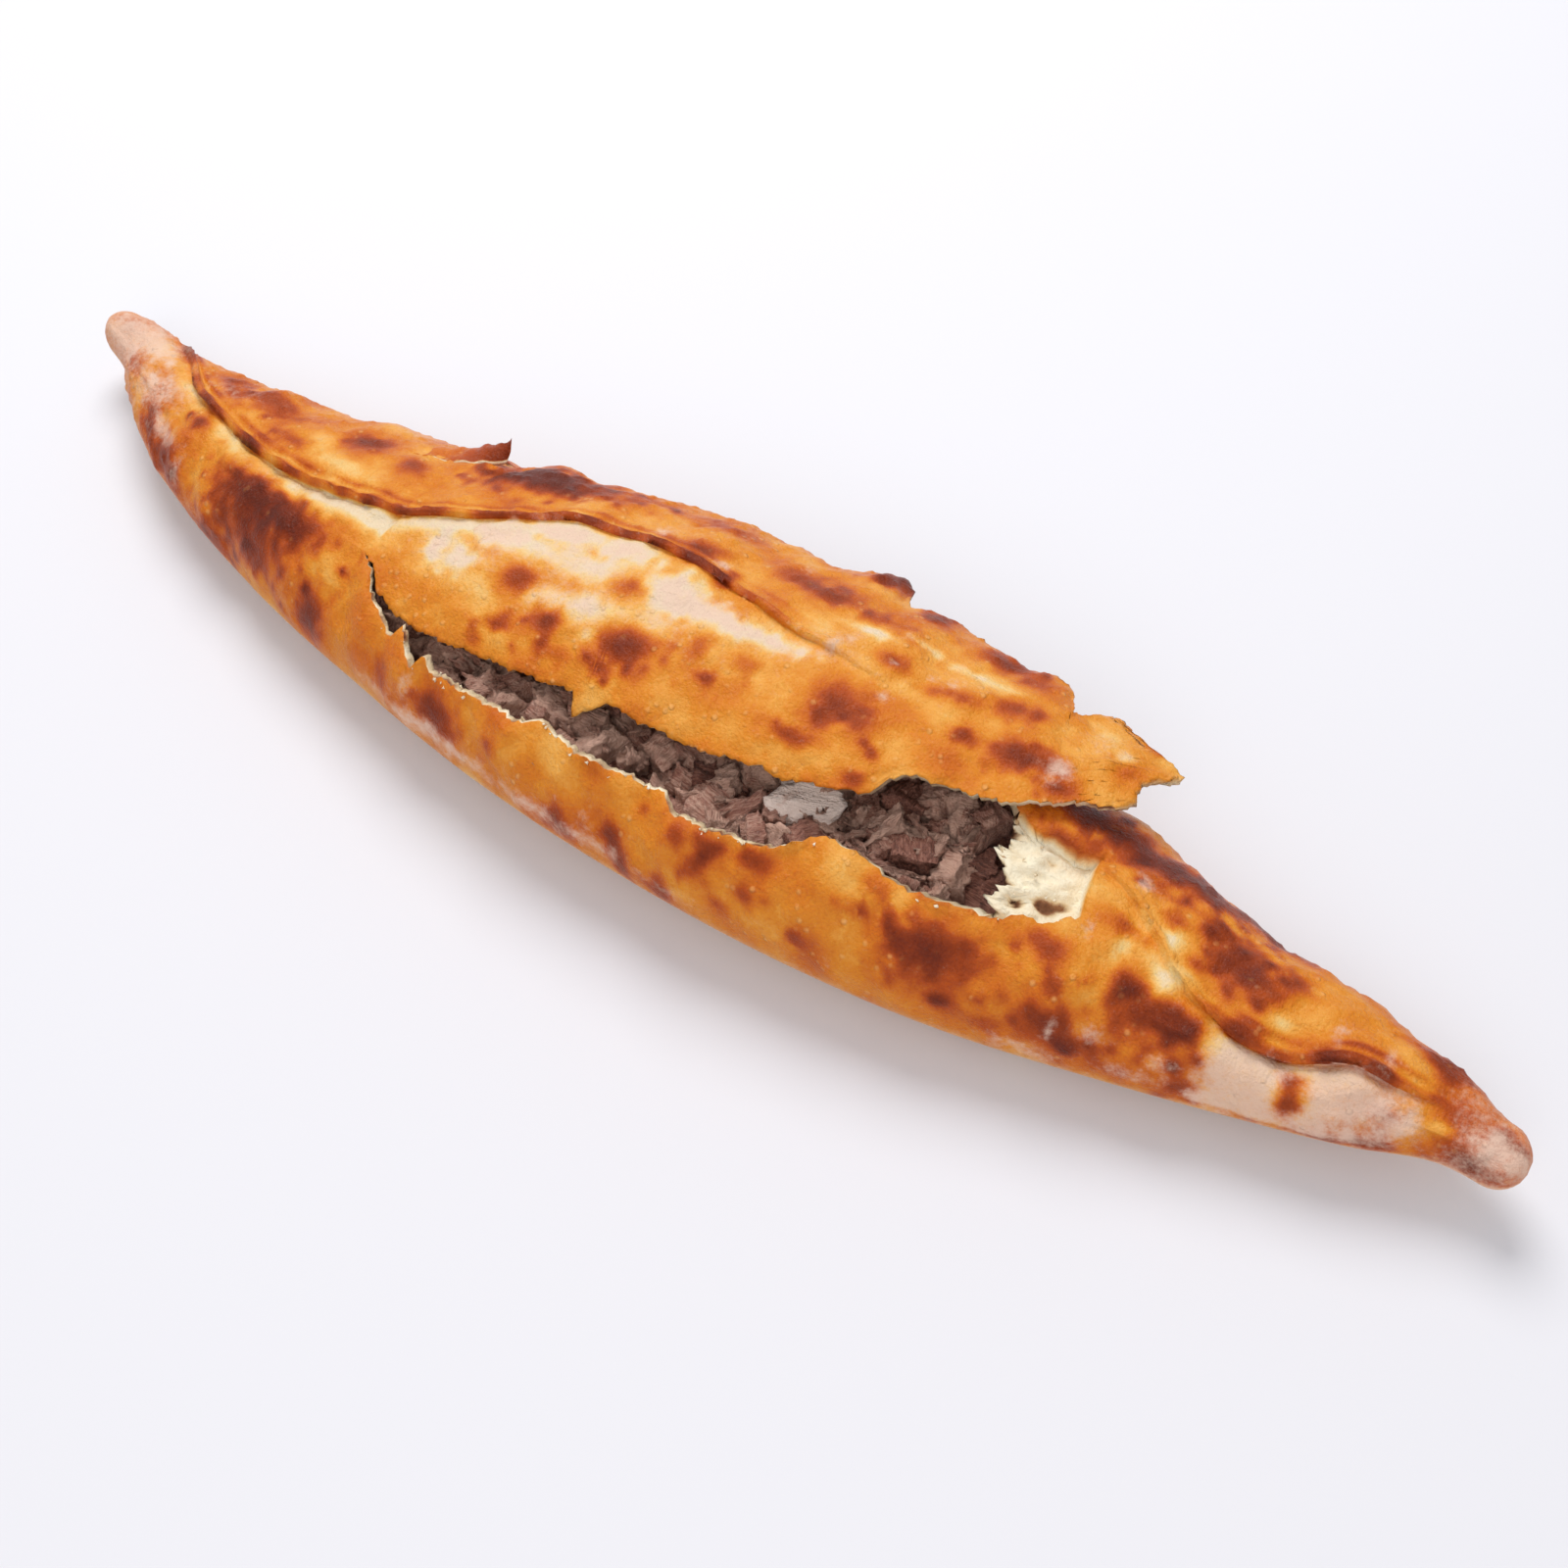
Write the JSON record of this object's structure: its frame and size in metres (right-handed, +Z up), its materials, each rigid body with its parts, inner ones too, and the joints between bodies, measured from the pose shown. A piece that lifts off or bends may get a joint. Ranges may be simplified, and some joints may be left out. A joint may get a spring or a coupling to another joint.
{
  "type": "kavurma pide",
  "caption": "Long boat-shaped closed flatbread with pointed ends, its top crust torn open and pulled aside over a filling of diced braised meat.",
  "frame": {"origin": "on the resting surface under the middle of the bread's plan", "axes": "+X along the bread towards the end where the torn lid is free, +Z up, -Y on the side of the open tear"},
  "size_m": [0.461, 0.1038, 0.0498],
  "materials": {
    "baked_crust": null,
    "bread_crumb": null,
    "braised_meat": null
  },
  "bodies": {
    "root": {"crust": "baked_crust", "kavurma_filling": "braised_meat"}
  },
  "joints": []
}
